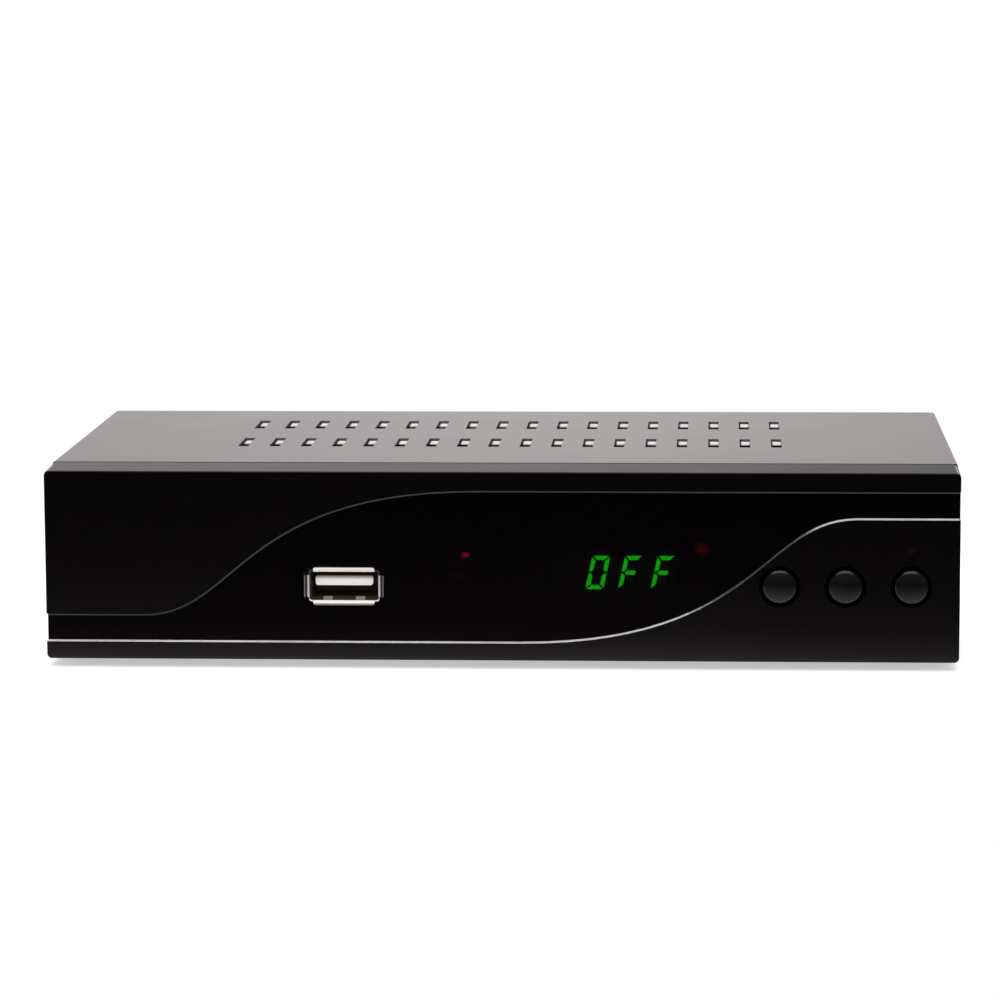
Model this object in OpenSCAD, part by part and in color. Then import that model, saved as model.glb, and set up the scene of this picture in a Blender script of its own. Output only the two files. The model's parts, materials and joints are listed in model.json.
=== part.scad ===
// Digital television receiver: folded steel case, moulded front with a swept smoked window.
// Lengths in millimetres, front toward -Y, up +Z, origin on the ground under the middle.

/* [Case] */
// Width of the case
body_w = 168; // [164:1:200]
// Depth from the front face to the back of the cover
body_d = 90; // [90:1:120]
// Height from the underside of the front panel to the top of the cover
body_h = 35.4; // [35:0.2:50]
// Thickness of the folded steel
sheet_t = 0.5; // [0.5:0.1:1]
// Outer radius of the folds
fold_r = 0.6; // [0.6:0.1:2]
// Gap between pieces pressed into one another
snug = 0.05; // [0.02:0.01:0.08]
// Gap between pieces that fit inside one another
fit_gap = 0.15; // [0.1:0.05:0.25]
// Height of the feet
foot_h = 2; // [1.6:0.2:6]
// Radius of the feet
foot_r = 6; // [4:0.5:8]
// Bevel at the bottom of the feet
foot_bevel = 0.8; // [0.4:0.1:1.2]
// Distance of the feet from the sides
foot_in = 14; // [10:1:24]
// Distance of the front feet behind the front face
foot_front = 26; // [24:1:34]
// Distance of the rear feet from the back
foot_back = 12; // [9:1:24]

/* [Vents] */
// Number of slots in each row
vent_count = 18; // [6:1:20]
// Distance between slots
vent_pitch = 6; // [4:0.5:7]
// Width of a slot
vent_w = 2; // [1:0.1:2.6]
// Length of a slot
vent_l = 12.4; // [6:0.2:14]
// Middle of the front row behind the front face
vent_front = 39.5; // [34:0.5:44]
// Distance between the two rows
vent_rows = 27.8; // [20:0.2:30]
// How far the dust strips start behind the middle of the slots
filter_start = 1.8; // [-4:0.1:3]
// Margin of the dust strips around the slots
filter_margin = 4; // [2:0.5:5]
// Thickness of the dust strips
filter_t = 0.2; // [0.1:0.1:0.6]

/* [Front panel] */
// Depth of the panel behind its front face
bezel_d = 10; // [9.6:0.2:12]
// Fall of the top strip toward the front edge
bezel_fall = 0.4; // [0:0.1:1]
// How far the panel hangs below the steel bottom
bezel_drop = 0.4; // [0.1:0.1:1]
// Step from the cover's top down to the panel at the seam
bezel_step = 0.05; // [0:0.05:0.3]
// Corner radius seen from the front
corner_r = 0.9; // [0.8:0.1:2]
// Radius of the edge round the front face
edge_r = 0.15; // [0.15:0.05:0.6]
// Thickness of the side walls
wall_t = 1.8; // [1.4:0.1:2.4]
// Thickness of the front wall
plate_t = 3; // [2.8:0.1:3.2]
// Length of the lip inside the cover
lip_l = 3; // [2:0.5:3.5]
// Thickness of the lip
lip_t = 1.2; // [1:0.1:1.6]
// Place of the screw lugs, as a share of half the width
lug_at = 0.655; // [0.52:0.005:0.78]
// Width of a screw lug
lug_w = 9; // [8:0.5:12]
// Thickness of a screw lug
lug_t = 4; // [3:0.5:5]
// Length of a screw lug behind the panel
lug_l = 9; // [8:0.5:10]

/* [Window] */
// Thickness of the window
window_t = 1.5; // [1:0.1:1.6]
// How far the window lies behind the front face
window_set = 0.3; // [0.1:0.05:0.4]
// Width of the bevelled lines
trim_w = 0.3; // [0.25:0.05:0.6]
// Middle of the sweep from the middle of the front
sweep_x = -0.3; // [-2:0.1:2]
// Height of the lines' centre over the middle of the panel
sweep_up = -0.15; // [-0.4:0.05:0.4]
// Gap from the window's ends to the sides
sweep_in = 0.25; // [0.2:0.05:0.6]
// Height of the upper line over the middle at its left end
sweep_low = -9.16; // [-10.5:0.02:-8.5]
// Height of the upper line over the middle at its right end
sweep_high = 14; // [13.2:0.02:14.6]
// Start of the bend on the upper line, as a share of half the width
sweep_start = -0.782; // [-0.81:0.001:-0.74]
// End of the bend on the upper line, as a share of half the width
sweep_end = -0.049; // [-0.07:0.001:0.02]
// How flat the bend starts, as a share of half the width
pull_low = 0.2095; // [0.14:0.0005:0.28]
// How flat the bend ends, as a share of half the width
pull_high = 0.524; // [0.4:0.001:0.55]

/* [Buttons] */
// Radius of a button
button_r = 3.07; // [2.4:0.01:3.4]
// Distance between buttons, as a share of half the width
button_step = 0.143; // [0.13:0.0005:0.146]
// Place of the first button, as a share of half the width
button_at = 0.609; // [0.6:0.001:0.62]
// Height of the buttons over the panel's underside
button_z = 14; // [13:0.1:14.5]
// How far a button stands out
button_proud = 0.7; // [0.5:0.1:1.4]
// Radius of a button's domed front
button_round = 9; // [7:0.5:14]
// Radius of a button's rim
rim_r = 0.4; // [0.2:0.05:0.6]
// Way a button goes in
button_travel = 0.5; // [0.2:0.1:0.6]
// Gap round a button in its hole
button_gap = 0.73; // [0.4:0.01:0.85]
// Running gap of moving pieces
run_gap = 0.33; // [0.3:0.01:0.4]
// How far a button's collar reaches past its shank
collar_w = 1.3; // [1:0.1:1.5]
// Thickness of the collar
collar_t = 0.8; // [0.6:0.1:1]
// Side of a push switch
switch_w = 6; // [5:0.5:7]
// Height of a push switch
switch_h = 3.5; // [3.2:0.1:3.8]
// Thickness of the push face behind the collar
push_t = 0.6; // [0.4:0.1:0.7]
// Depth of a plunger in its switch
plunger_in = 1.6; // [1.2:0.1:1.8]
// Radius of a switch plunger
plunger_r = 1.6; // [1.2:0.1:1.8]

/* [Display] */
// Place of the display, as a share of half the width
display_at = 0.248; // [0.23:0.001:0.26]
// Height of the display over the panel's underside
display_z = 16; // [15:0.1:17]
// Width of the display
display_w = 24; // [24:0.2:26]
// Height of the display
display_h = 10.3; // [9:0.1:11]
// Distance between digits
digit_pitch = 6; // [5:0.1:6.2]
// Height of a digit
digit_h = 6.2; // [5:0.1:7]
// Width of a digit
digit_w = 3.3; // [3:0.1:4]
// Width of a segment
segment_w = 0.75; // [0.5:0.05:1]
// Gap between segments
segment_gap = 0.24; // [0.08:0.01:0.26]
// Slant of the digits in degrees
slant = 12; // [0:1:12]
// Thickness of a segment
segment_t = 0.1; // [0.05:0.01:0.12]
// Gap from the front wall to the display
display_gap = 0.2; // [0.15:0.05:0.4]
// Place of the remote eye, as a share of half the width
eye_at = -0.0976; // [-0.12:0.0002:-0.07]
// Height of the remote eye
eye_z = 17.5; // [16.5:0.1:18.5]
// Width of the remote eye
eye_w = 5; // [4:0.1:5.4]
// Height of the remote eye's body
eye_h = 5.6; // [5:0.1:6.4]
// Depth of the remote eye's body
eye_t = 4; // [3:0.1:4.4]
// Radius of the remote eye's dome
eye_r = 1.6; // [1.2:0.1:2]
// Place of the signal lamp, as a share of half the width
lamp_at = 0.438; // [0.43:0.001:0.45]
// Height of the signal lamp
lamp_z = 20.3; // [19:0.1:21]
// Radius of the lamps
lamp_r = 1.5; // [1.2:0.1:1.6]
// Rim round the foot of a lamp
lamp_rim = 0.3; // [0.2:0.05:0.4]
// Thickness of that rim
lamp_rim_t = 1; // [0.6:0.1:1.4]
// Height of the power lamp over its button
power_lamp_up = 6.26; // [6.1:0.02:6.6]
// Radius of the power lamp's hole
lamp_hole_r = 0.95; // [0.6:0.05:1.1]

/* [Front board] */
// Reach of the front board left of the remote eye
front_left_by = 6.8; // [6.2:0.1:9]
// Gap from the front board to the right side
front_in = 3.6; // [3.2:0.1:4.6]
// Lower edge of the front board
front_low = 9.4; // [8.8:0.1:9.6]
// Upper edge of the front board
front_high = 26; // [25.6:0.1:28]
// Place of the front board behind the front face
front_at = 9.6; // [9.6:0.1:10]
// Thickness of both boards
board_t = 1.6; // [1.2:0.1:1.8]
// Height of the lower bosses for the front board
boss_low = 12.2; // [11.8:0.1:12.4]
// Height of the upper bosses for the front board
boss_high = 22.9; // [22.6:0.1:23.4]
// Distance of the first boss left of the remote eye
boss_left_by = 3.6; // [3:0.1:4]
// Radius of the front board's bosses
boss_r = 2.4; // [2.2:0.1:2.6]

/* [USB socket] */
// Place of the USB socket, as a share of half the width
usb_at = -0.3432; // [-0.36:0.0002:-0.32]
// Height of the USB socket
usb_z = 13.68; // [13:0.02:15]
// Width of the shell
usb_w = 13.1; // [12.9:0.1:13.3]
// Height of the shell
usb_h = 5.9; // [5.5:0.1:6]
// Length of the shell
usb_l = 14; // [13.6:0.1:17]
// Thickness of the shell
usb_t = 0.3; // [0.25:0.05:0.35]
// How far the shell's mouth lies behind the front face
usb_set = 0.2; // [0.1:0.05:0.5]
// Length of the flared lips, and the reach of the side lips
flare = 0.75; // [0.5:0.05:0.9]
// Reach of the upper and lower lips
lip_rise = 0.55; // [0.4:0.05:0.9]
// Width of the upper and lower lips
flare_w = 11.3; // [9:0.1:11.6]
// Height of the side lips
flare_h = 4; // [3:0.1:4.2]
// Corner radius of the upper and lower lips
lip_r = 0.4; // [0.2:0.05:0.6]
// Gap round the shell in the front panel
usb_gap = 0.4; // [0.3:0.05:0.6]
// Width of a spring tab in the shell
tab_w = 1.7; // [1.4:0.1:2.2]
// Distance of the spring tabs from the socket's middle
tab_out = 3; // [2.4:0.1:3.4]
// Height of a spring tab
tab_h = 0.6; // [0.3:0.05:0.7]
// Length of a spring tab
tab_l = 5; // [4:0.1:6]
// Depth of the insulator's foot
usb_foot = 3; // [2:0.1:4]
// Width of a contact
contact_w = 1; // [0.8:0.05:1.1]
// Distance of the inner contacts from the socket's middle
contact_mid = 1; // [0.8:0.05:1.2]
// Distance of the outer contacts from the socket's middle
contact_out = 3.5; // [3:0.05:3.7]
// Thickness of a contact
contact_t = 0.15; // [0.1:0.01:0.2]
// Thickness of the tongue
tongue_t = 1.84; // [1.6:0.02:1.9]
// Width of the tongue
tongue_w = 10.6; // [10:0.1:11.4]
// Height of the tongue's middle over the socket's middle
tongue_up = 0.9; // [0.7:0.05:1]
// How far the tongue lies behind the mouth
tongue_set = 1.6; // [1.2:0.1:2.4]

/* [Main board] */
// Gap from the main board to the sides of the case
main_in = 8; // [7:0.5:10]
// Distance of the posts from the main board's side edges
post_in = 5; // [4:0.5:6]
// Front edge of the main board
main_front = 15; // [14.8:0.1:16]
// Gap from the main board to the rear panel
main_back_gap = 0.8; // [0.5:0.1:1.2]
// Half width of the board's tab under the USB socket
tab_half = 9; // [8:0.5:10]
// Front edge of the tab
tab_front = 4; // [3.6:0.1:6]
// Radius of the board posts
post_r = 2.6; // [2.4:0.1:3]
// Height of the processor
chip_t = 1.4; // [1:0.1:2]
// Side of the processor
processor_w = 22; // [18:0.5:24]
// Side of the heat sink
sink_w = 26; // [24:0.5:27]
// Height of the heat sink
sink_h = 9; // [5:0.5:12]
// Number of fins
fin_count = 9; // [5:1:10]
// Thickness of a fin
fin_t = 1.2; // [0.8:0.1:1.4]
// Thickness of the heat sink's floor
sink_floor = 2; // [1.5:0.1:3]
// Place of the processor, as a share of half the width
processor_at = 0.095; // [0.05:0.005:0.11]
// Place of the processor behind the front face, as a share of the depth
processor_back = 0.511; // [0.46:0.001:0.56]
// Distance from the processor to the memory and the small parts around it
part_step = 27; // [26:0.5:29]
// Length of a memory chip
memory_l = 11; // [9:0.5:12]
// Width of a memory chip
memory_w = 9; // [7:0.5:10]
// Length of the crystal
crystal_l = 11; // [9:0.5:12]
// Width of the crystal
crystal_w = 4.6; // [4:0.1:5]
// Height of the crystal
crystal_h = 3.5; // [2.5:0.1:4]
// Side of a coil
coil_w = 7.2; // [5:0.1:7.6]
// Height of a coil
coil_h = 4; // [2:0.1:5]
// Radius of a large capacitor
cap_r = 4; // [3:0.1:4.4]
// Height of a large capacitor
cap_h = 11.5; // [8:0.5:14]
// Radius of a small capacitor
small_cap_r = 3.15; // [2.5:0.05:3.4]
// Distance between capacitors
cap_step = 12; // [11:0.5:13]
// Number of pins between the boards
pin_count = 8; // [4:1:8]
// Distance between pins
pin_pitch = 2.54; // [2:0.01:2.6]
// Thickness of a pin
pin_w = 0.64; // [0.5:0.01:0.7]
// Height of the pin header
header_h = 2.5; // [2:0.1:3]
// Place of the pins between the boards, as a share of half the width
header_at = 0.143; // [0.1:0.001:0.24]

/* [Rear sockets] */
// Axis of the aerial sockets over the main board
rf_up = 7.5; // [7:0.1:8]
// How far the aerial sockets reach behind the case
rf_reach = 10; // [9.6:0.1:14]
// Place of the tuner, as a share of half the width
tuner_at = -0.667; // [-0.69:0.001:-0.655]
// Width of the tuner
tuner_w = 36; // [34:0.5:36]
// Depth of the tuner
tuner_d = 26; // [18:0.5:26]
// Height of the tuner
tuner_h = 14; // [13.5:0.1:16]
// Thickness of the tuner's can
can_t = 0.5; // [0.3:0.1:0.8]
// Distance between the two aerial sockets
rf_pitch = 18; // [16:0.5:20]
// Inner radius of the aerial socket
rf_r = 4.75; // [4.7:0.01:4.8]
// Wall of the aerial tubes
rf_t = 0.65; // [0.5:0.05:0.8]
// Thickness of the aerial insulators
rf_disc_t = 2; // [1.5:0.1:3]
// Wall of the aerial socket's middle contact
rf_contact_t = 0.7; // [0.5:0.05:0.8]
// How far the middle contacts end before the tubes
rf_contact_set = 1.5; // [1:0.1:2.5]
// How much shorter the loop plug is than the aerial socket
loop_short = 0.5; // [0.2:0.1:1]
// How far the feet of the rear sockets pass the rear panel
socket_foot = 0.4; // [0.2:0.1:0.5]
// Radius of the aerial pin
rf_pin_r = 1.17; // [1.15:0.01:1.2]
// Place of the HDMI socket, as a share of half the width
hdmi_at = -0.238; // [-0.25:0.001:-0.22]
// Width of the HDMI shell
hdmi_w = 14.8; // [14.5:0.1:15]
// Height of the HDMI shell
hdmi_h = 5.6; // [5.5:0.1:5.9]
// Cut of the HDMI shell's lower corners
hdmi_cut = 2; // [1.5:0.1:2.2]
// Width of the HDMI tongue
hdmi_tongue_w = 11.2; // [10:0.1:11.6]
// Thickness of the HDMI tongue
hdmi_tongue_t = 1.1; // [0.9:0.1:1.3]
// How far the HDMI tongue lies behind the mouth
hdmi_tongue_set = 1.2; // [0.8:0.1:2]
// Length of the HDMI shell
hdmi_l = 12; // [11:0.5:14]
// Thickness of the HDMI shell
hdmi_t = 0.4; // [0.3:0.05:0.45]
// Place of the middle phono socket, as a share of half the width
av_at = 0.226; // [0.21:0.001:0.24]
// Distance between phono sockets
av_pitch = 14; // [13:0.1:14.4]
// Axis of the phono sockets over the main board
av_up = 9.5; // [8:0.1:11]
// How far the phono sockets reach behind the case
av_reach = 8.5; // [7.6:0.1:9.5]
// Outer radius of a phono barrel
av_r = 4.15; // [4.1:0.01:4.2]
// Radius of a phono barrel's foot
av_foot_r = 5.2; // [4.8:0.1:5.6]
// Depth of the phono sockets' block
av_block_d = 12; // [8:0.5:13]
// Depth of a phono barrel in its block
av_in = 3; // [2:0.5:4]
// Wall of a phono barrel
av_t = 0.6; // [0.5:0.05:0.7]
// Radius of the hole for the phono pin
av_pin_r = 1.65; // [1.6:0.01:1.7]
// Place of the power inlet, as a share of half the width
dc_at = 0.69; // [0.62:0.005:0.71]
// Axis of the power inlet over the main board
dc_up = 6.5; // [6:0.1:7]
// Inner radius of the power inlet
dc_r = 3.2; // [3:0.05:3.3]
// Half width of the inlet's body
dc_half = 4.5; // [4.2:0.1:5]
// Depth of the inlet's body
dc_d = 13; // [11:0.5:14]
// Depth of the inlet's bore
dc_deep = 9.5; // [8.5:0.1:10]
// Radius of the inlet's pin
dc_pin_r = 1.05; // [0.95:0.05:1.25]

/* [Fasteners] */
// Shank radius of the case and board screws
screw_r = 1.25; // [1:0.05:1.4]
// Head radius of the screws
head_r = 2.4; // [2:0.1:2.6]
// Head height of the screws
head_h = 1.3; // [1:0.1:1.5]
// Length of a screw's shank
screw_l = 6; // [5:0.5:7]
// Gap round a screw in its own thread hole
thread_gap = 0.05; // [0.02:0.01:0.1]
// Gap round a screw where it passes through
pass_gap = 0.4; // [0.3:0.05:0.5]
// Height of the cover's rear lip
rear_lip = 9; // [8:0.5:10]
// Height of the steel bottom's side folds
side_fold = 9; // [5:0.5:10]

/* [Hidden] */
$fn = 48;
over = 1;
seat = 0.01;
front_y = -(body_d + rf_reach - button_proud) / 2;
back_y = front_y + body_d;
pan_z = foot_h;
bezel_z = foot_h - bezel_drop;
pan_top = pan_z + sheet_t;
top_z = bezel_z + body_h;
half_w = body_w / 2;
lug_x = lug_at * half_w;
sweep_half = half_w + wall_t;
button_x = button_at * half_w;
button_pitch = button_step * half_w;
display_x = display_at * half_w;
eye_x = eye_at * half_w;
lamp_x = lamp_at * half_w;
usb_x = usb_at * half_w;
processor_x = processor_at * half_w;
header_x = header_at * half_w;
tuner_x = tuner_at * half_w;
hdmi_x = hdmi_at * half_w;
av_x = av_at * half_w;
dc_x = dc_at * half_w;
front_left = eye_x - front_left_by;
front_right = half_w - front_in;
main_half = half_w - main_in;
under_top = top_z - sheet_t;
inner_w = half_w - sheet_t - fit_gap;
panel_y = back_y - sheet_t - fit_gap;
panel_in = panel_y - sheet_t;
panel_top = under_top - fit_gap;
face_h = body_h - bezel_fall;
face_z = bezel_z + face_h / 2 + sweep_up;
plate_y = front_y + plate_t;
seam_y = front_y + bezel_d + fit_gap;
recess = window_set + window_t;
front_board_y = front_y + front_at;
display_y = plate_y + display_gap;
usb_mid = bezel_z + usb_z;
board_z = usb_mid - usb_h / 2;
main_y = front_y + main_front;
main_back = panel_in - main_back_gap;
switch_y = front_board_y - switch_h;
collar_y = plate_y + run_gap;
push_y = collar_y + collar_t + push_t;
rf_z = board_z + rf_up;
foot_y = panel_y + socket_foot;
rf_base = foot_y + rf_t;
processor_y = front_y + processor_back * body_d;
hdmi_z = board_z + hdmi_h / 2;
av_z = board_z + av_up;
av_face = panel_in - fit_gap;
dc_z = board_z + dc_up;
boss_places = [[eye_x - boss_left_by, boss_low], [(eye_x + display_x - display_w / 2) / 2, boss_high],
  [(2 * lamp_x + button_x) / 3, boss_low], [button_x + 1.5 * button_pitch, boss_high]];
post_side = main_half - post_in;
tuner_right = tuner_x + tuner_w / 2;
post_places = [[-post_side, 0.245], [post_side, 0.245], [-post_side, 0.6], [post_side, 0.867],
  [(tuner_right + hdmi_x - hdmi_w / 2) / 2, 0.889]];
cover_screw_places = [-0.36 * body_w, 0, 0.36 * body_w];
upper_path = line_path(-sweep_half, sweep_half);
lit_parts = [[1, 0], [1, 1], [1, 2], [1, 3], [1, 4], [1, 5], [2, 0], [2, 4], [2, 5], [2, 6],
             [3, 0], [3, 4], [3, 5], [3, 6]];

function bezier(t, a, b, c, d) =
  a * pow(1 - t, 3) + 3 * b * t * pow(1 - t, 2) + 3 * c * t * t * (1 - t) + d * t * t * t;
function sweep(t) = [
  half_w * bezier(t, sweep_start, sweep_start + pull_low, sweep_end - pull_high, sweep_end),
  bezier(t, sweep_low, sweep_low, sweep_high, sweep_high)];
function line_path(x0, x1) =
  concat([[x0, sweep_low]], [for (i = [0 : 28]) sweep(i / 28)], [[x1, sweep_high]]);
function normal(path, i) =
  let (a = path[max(i - 1, 0)], b = path[min(i + 1, len(path) - 1)], d = (b - a) / norm(b - a))
  [-d[1], d[0]];
function arc(c, r, a0, a1, n) =
  [for (i = [0 : n]) let (a = a0 + (a1 - a0) * i / n) c + r * [cos(a), sin(a)]];
function beside(path, o) = [for (i = [0 : len(path) - 1]) path[i] + o * normal(path, i)];
function lit(digit, part) = len([for (p = lit_parts) if (p == [digit, part]) p]) > 0;

// Box between two corners.
module box(a, b) {
  translate(a) cube(b - a);
}

// Round bar along Y.
module rod_y(x, z, y0, y1, r) {
  translate([x, y0, z]) rotate([-90, 0, 0]) cylinder(r = r, h = y1 - y0);
}

// Round bar along Z.
module rod_z(x, y, z0, z1, r) {
  translate([x, y, z0]) cylinder(r = r, h = z1 - z0);
}

// Drawing seen from the front, given depth.
module along_y(y0, y1) {
  translate([0, y1, 0]) rotate([90, 0, 0]) linear_extrude(y1 - y0) children();
}

// Drawing seen from the right side, given width.
module along_x(x0, x1) {
  translate([x0, 0, 0]) rotate([90, 0, 90]) linear_extrude(x1 - x0) children();
}

// Rectangle between two corners with round corners.
module rounded(a, b, r) {
  translate([a[0] + r, a[1]]) square([b[0] - a[0] - 2 * r, b[1] - a[1]]);
  translate([a[0], a[1] + r]) square([b[0] - a[0], b[1] - a[1] - 2 * r]);
  for (x = [a[0] + r, b[0] - r], y = [a[1] + r, b[1] - r]) translate([x, y]) circle(r);
}

// Pan-head screw with its head's seat at the origin, shank toward -Z.
module screw(l) {
  difference() {
    union() {
      translate([0, 0, -l]) cylinder(r = screw_r, h = l + seat);
      cylinder(r = head_r, h = head_h);
    }
    for (a = [0, 90]) rotate(a) translate([-head_r / 2, -screw_r / 4, head_h / 2])
      cube([head_r, screw_r / 2, head_h]);
  }
}

// The window's outline, grown by o.
module band(o) {
  edge = beside(upper_path, o);
  translate([sweep_x, face_z]) polygon(concat(edge, [for (p = edge) -p]));
}

// Bevelled strip along the upper line, from side to side where its middle is at x.
module trim_strip(x) {
  w = half_w - sweep_in;
  path = line_path(-w - x, w - x);
  section = [[-trim_w / 2, window_set], [trim_w / 2, 0], [trim_w / 2, recess], [-trim_w / 2, recess]];
  last = len(path) - 1;
  points = [for (i = [0 : last], s = section)
    let (p = path[i] + s[0] * normal(path, i)) [p[0], s[1], p[1]]];
  sides = [for (i = [0 : last - 1], k = [0 : 3])
    [4 * i + k, 4 * i + 4 + k, 4 * i + 4 + (k + 1) % 4, 4 * i + (k + 1) % 4]];
  polyhedron(points, concat(sides, [[0, 1, 2, 3], [for (k = [3 : -1 : 0]) 4 * last + k]]));
}

// Room for the window between the sides of the panel.
module between_sides() {
  w = half_w - sweep_in;
  box([-w, front_y - over, bezel_z], [w, plate_y, bezel_z + body_h]);
}

// Opening for the USB socket and for the lips round its mouth.
module usb_opening(y0, y1) {
  for (m = [[usb_w, usb_h], [usb_w + 2 * flare, flare_h], [flare_w, usb_h + 2 * lip_rise]]) {
    w = m[0] / 2 + usb_gap;
    h = m[1] / 2 + usb_gap;
    box([usb_x - w, y0, usb_mid - h], [usb_x + w, y1, usb_mid + h]);
  }
}

module button_places() {
  for (i = [0 : 2]) translate([button_x + i * button_pitch, 0, bezel_z + button_z]) children();
}

// Outer form of the front panel: slices that round the front edge and raise the top to the seam.
module bezel_form() {
  steps = [[0, edge_r], [edge_r * 0.29, edge_r * 0.29], [edge_r, 0], [bezel_d, 0]];
  hull() for (s = steps) {
    r = corner_r - s[1];
    z1 = bezel_z + (s[0] < bezel_d ? face_h : body_h - bezel_step) - s[1];
    for (x = [-1, 1], z = [bezel_z + s[1] + r, z1 - r])
      rod_y(x * (half_w - s[1] - r), z, front_y + s[0] - (s[0] == bezel_d ? seat : 0),
            front_y + s[0] + (s[0] == bezel_d ? 0 : seat), r, $fn = 32);
  }
}

module front_bezel() {
  lip_low = pan_top + fit_gap;
  lip_high = under_top - fit_gap;
  lip_back = front_y + bezel_d + lip_l;
  color([0.03, 0.03, 0.035]) difference() {
    union() {
      difference() {
        bezel_form();
        along_y(plate_y, front_y + bezel_d + over)
          rounded([-half_w + wall_t, bezel_z + wall_t], [half_w - wall_t, bezel_z + face_h - wall_t],
                  corner_r / 2);
      }
      difference() {
        along_y(front_y + bezel_d - lip_l, lip_back)
          rounded([-inner_w, lip_low], [inner_w, lip_high], corner_r);
        along_y(front_y + bezel_d - lip_l - over, lip_back + over)
          rounded([-inner_w + lip_t, lip_low + lip_t], [inner_w - lip_t, lip_high - lip_t],
                  corner_r / 2);
      }
      for (p = boss_places) rod_y(p[0], bezel_z + p[1], plate_y - seat, front_board_y, boss_r);
      for (s = [-1, 1]) box([s * lug_x - lug_w / 2, lip_back - lip_l, lip_low],
                            [s * lug_x + lug_w / 2, lip_back + lug_l - lip_l, lip_low + lug_t]);
      for (x = [-0.81, -0.62] * half_w) box([x, plate_y - seat, bezel_z + wall_t - seat],
                               [x + lip_t, front_y + bezel_d - lip_l, bezel_z + face_h - wall_t]);
    }
    along_y(front_y - over, front_y + recess) band(trim_w / 2 + fit_gap / 3);
    usb_opening(front_y - over, plate_y + over);
    box([display_x - display_w / 2 + fit_gap, front_y, bezel_z + display_z - display_h / 2 + fit_gap],
        [display_x + display_w / 2 - fit_gap, plate_y + over,
         bezel_z + display_z + display_h / 2 - fit_gap]);
    box([eye_x - eye_w / 2, front_y, bezel_z + eye_z - eye_h / 2],
        [eye_x + eye_w / 2, plate_y + over, bezel_z + eye_z + eye_h / 2]);
    rod_y(lamp_x, bezel_z + lamp_z, front_y, plate_y + over, lamp_r + fit_gap);
    rod_y(button_x + 2 * button_pitch, bezel_z + button_z + power_lamp_up, front_y - over,
          plate_y + over, lamp_hole_r);
    button_places() rod_y(0, 0, front_y - over, plate_y + over, button_r + button_gap);
    for (p = boss_places)
      rod_y(p[0], bezel_z + p[1], front_board_y - screw_l, front_board_y + over, screw_r + thread_gap);
    for (s = [-1, 1]) rod_z(s * lug_x, lip_back + lug_l / 2 - lip_l / 2, lip_low - over,
                            lip_low + lug_t + over, screw_r + thread_gap);
  }
}

module display_window() {
  color([0.01, 0.01, 0.012, 0.85]) difference() {
    intersection() {
      along_y(front_y + window_set, front_y + recess) band(-trim_w / 2 - fit_gap / 3);
      between_sides();
    }
    usb_opening(front_y - over, plate_y);
  }
}

module upper_trim() {
  color([0.25, 0.25, 0.26]) translate([sweep_x, front_y, face_z]) trim_strip(sweep_x);
}

module lower_trim() {
  color([0.75, 0.75, 0.77]) translate([sweep_x, front_y, face_z]) rotate([0, 180, 0])
    trim_strip(-sweep_x);
}

// Button number i, turned about its axis: push face, collar, shank, rounded rim and domed front.
module button(i) {
  apex = button_proud;
  back = front_y - push_y;
  collar = [front_y - collar_y - collar_t, front_y - collar_y];
  middle = apex - button_round;
  rim_h = middle + sqrt(pow(button_round - rim_r, 2) - pow(button_r - rim_r, 2));
  turn = atan2(rim_h - middle, button_r - rim_r);
  color([0.04, 0.04, 0.045])
    translate([button_x + i * button_pitch, front_y, bezel_z + button_z]) rotate([90, 0, 0])
      rotate_extrude() polygon(concat(
        [[0, back], [plunger_r + run_gap, back], [plunger_r + run_gap, collar[0]],
         [button_r + collar_w, collar[0]], [button_r + collar_w, collar[1]], [button_r, collar[1]]],
        arc([button_r - rim_r, rim_h], rim_r, 0, turn, 4), arc([0, middle], button_round, turn, 90, 8)));
}

module channel_down_button() {
  button(0);
}

module channel_up_button() {
  button(1);
}

module power_button() {
  button(2);
}

// Switch plunger behind button number i.
module plunger(i) {
  color([0.1, 0.1, 0.1]) translate([button_x + i * button_pitch, 0, bezel_z + button_z])
    rod_y(0, 0, push_y, switch_y + plunger_in, plunger_r);
}

module channel_down_plunger() {
  plunger(0);
}

module channel_up_plunger() {
  plunger(1);
}

module power_plunger() {
  plunger(2);
}

module switch_housings() {
  color([0.55, 0.56, 0.57]) button_places() difference() {
    box([-switch_w / 2, switch_y, -switch_w / 2], [switch_w / 2, front_board_y, switch_w / 2]);
    rod_y(0, 0, switch_y - over, switch_y + plunger_in + button_travel + run_gap, plunger_r + run_gap);
  }
}

module front_board() {
  color([0.05, 0.25, 0.12]) difference() {
    box([front_left, front_board_y, bezel_z + front_low],
        [front_right, front_board_y + board_t, bezel_z + front_high]);
    for (p = boss_places)
      rod_y(p[0], bezel_z + p[1], front_board_y - over, front_board_y + board_t + over,
            screw_r + pass_gap);
  }
}

module front_board_screws() {
  color([0.7, 0.7, 0.72]) for (p = boss_places)
    translate([p[0], front_board_y + board_t, bezel_z + p[1]]) rotate([-90, 0, 0])
      screw(screw_l + board_t - over);
}

module led_display() {
  color([0.08, 0.08, 0.08])
    box([display_x - display_w / 2, display_y, bezel_z + display_z - display_h / 2],
        [display_x + display_w / 2, front_board_y, bezel_z + display_z + display_h / 2]);
}

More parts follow.
